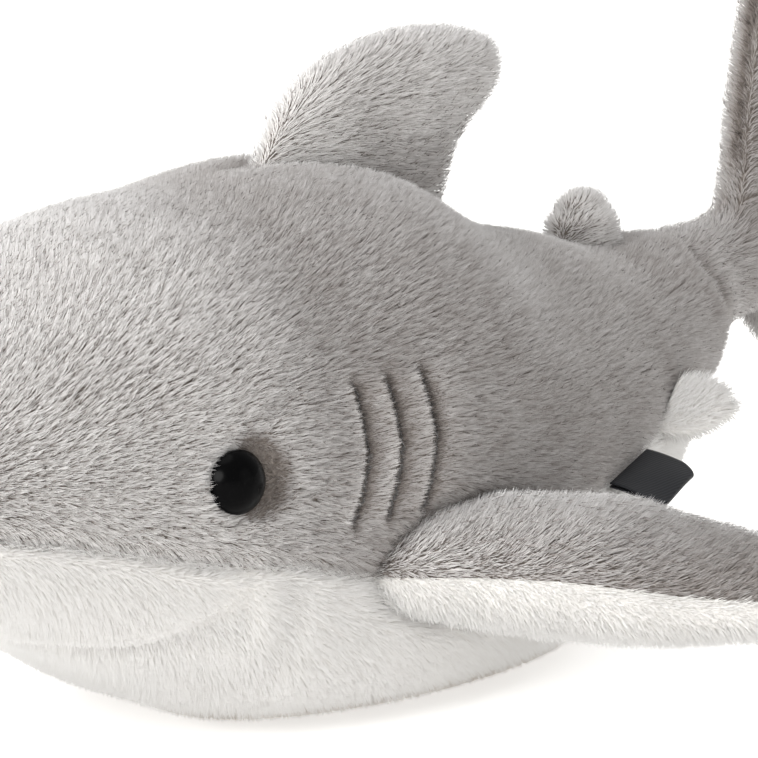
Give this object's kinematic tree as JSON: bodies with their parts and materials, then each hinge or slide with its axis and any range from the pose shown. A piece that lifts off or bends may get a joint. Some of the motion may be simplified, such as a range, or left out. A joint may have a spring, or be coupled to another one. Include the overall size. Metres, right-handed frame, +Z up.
{
  "type": "plush shark",
  "caption": "Soft toy shark in short grey and white pile fabric, lying on its belly, with stuffed fins and tail, glossy dome eyes, stitched gill and mouth tucks and a black side label.",
  "frame": {"origin": "middle of the flat patch of belly that the shark rests on", "axes": "+Z up; +Y from the nose towards the tail; +X towards the shark's left side"},
  "size_m": [0.2944, 0.424, 0.184],
  "materials": {
    "grey_pile": "short combed plush pile, warm grey with a soft sheen",
    "white_pile": "short plush pile, warm white",
    "fill": "white polyester fibre",
    "eye": "polished black",
    "washer": "white moulded plastic",
    "grey_thread": "grey sewing thread",
    "white_thread": "white sewing thread",
    "label": "black woven satin"
  },
  "bodies": {
    "body": {"back_panel_left": "grey_pile", "back_panel_right": "grey_pile", "belly_panel": "white_pile", "body_fill": "fill", "eye_left": "eye", "eye_right": "eye", "eye_washer_left": "washer", "eye_washer_right": "washer", "mouth_thread": "white_thread", "gill_thread_front_left": "grey_thread", "gill_thread_front_right": "grey_thread", "gill_thread_middle_left": "grey_thread", "gill_thread_middle_right": "grey_thread", "gill_thread_rear_left": "grey_thread", "gill_thread_rear_right": "grey_thread"},
    "dorsal_fin": {"dorsal_panel_left": "grey_pile", "dorsal_panel_right": "grey_pile", "dorsal_fill": "fill"},
    "rear_dorsal_fin": {"rear_fin_panel_left": "grey_pile", "rear_fin_panel_right": "grey_pile", "rear_fin_fill": "fill"},
    "pectoral_fin_left": {"pectoral_left_upper": "grey_pile", "pectoral_left_lower": "white_pile", "pectoral_left_fill": "fill"},
    "pectoral_fin_right": {"pectoral_right_upper": "grey_pile", "pectoral_right_lower": "white_pile", "pectoral_right_fill": "fill"},
    "pelvic_fin_left": {"pelvic_left_upper": "white_pile", "pelvic_left_lower": "white_pile", "pelvic_left_fill": "fill"},
    "pelvic_fin_right": {"pelvic_right_upper": "white_pile", "pelvic_right_lower": "white_pile", "pelvic_right_fill": "fill"},
    "tail": {"tail_panel_left": "grey_pile", "tail_panel_right": "grey_pile", "tail_fill": "fill"},
    "label": {"side_label": "label"}
  },
  "joints": [
    {"name": "pectoral_left_flap", "type": "hinge", "parent": "body", "child": "pectoral_fin_left", "pos_m": [0.07556, -0.039, 0.042], "axis": [0, -1, 0], "range_deg": [-12, 40], "stiffness_Nm_per_rad": 0.15},
    {"name": "pectoral_right_flap", "type": "hinge", "parent": "body", "child": "pectoral_fin_right", "pos_m": [-0.07556, -0.039, 0.042], "axis": [0, 1, 0], "range_deg": [-12, 40], "stiffness_Nm_per_rad": 0.15},
    {"name": "dorsal_flop", "type": "hinge", "parent": "body", "child": "dorsal_fin", "pos_m": [0, -0.006, 0.13355], "axis": [0, 0.9745, -0.2244], "range_deg": [-35, 35], "stiffness_Nm_per_rad": 0.06},
    {"name": "rear_dorsal_flop", "type": "hinge", "parent": "body", "child": "rear_dorsal_fin", "pos_m": [0, 0.09256, 0.10062], "axis": [0, 0.9809, -0.1943], "range_deg": [-30, 30], "stiffness_Nm_per_rad": 0.005},
    {"name": "pelvic_left_flap", "type": "hinge", "parent": "body", "child": "pelvic_fin_left", "pos_m": [0.04539, 0.08012, 0.05719], "axis": [0.3016, -0.8446, -0.4424], "range_deg": [-25, 25], "stiffness_Nm_per_rad": 0.01},
    {"name": "pelvic_right_flap", "type": "hinge", "parent": "body", "child": "pelvic_fin_right", "pos_m": [-0.04539, 0.08012, 0.05719], "axis": [0.3016, 0.8446, 0.4424], "range_deg": [-25, 25], "stiffness_Nm_per_rad": 0.01},
    {"name": "tail_swing", "type": "hinge", "parent": "body", "child": "tail", "pos_m": [0, 0.138, 0.078], "axis": [0, 0, 1], "range_deg": [-30, 30], "stiffness_Nm_per_rad": 0.15},
    {"name": "label_flap", "type": "hinge", "parent": "body", "child": "label", "pos_m": [0.0575, 0.03934, 0.04957], "axis": [0.2691, -0.954, -0.132], "range_deg": [-60, 60], "stiffness_Nm_per_rad": 0.002}
  ]
}
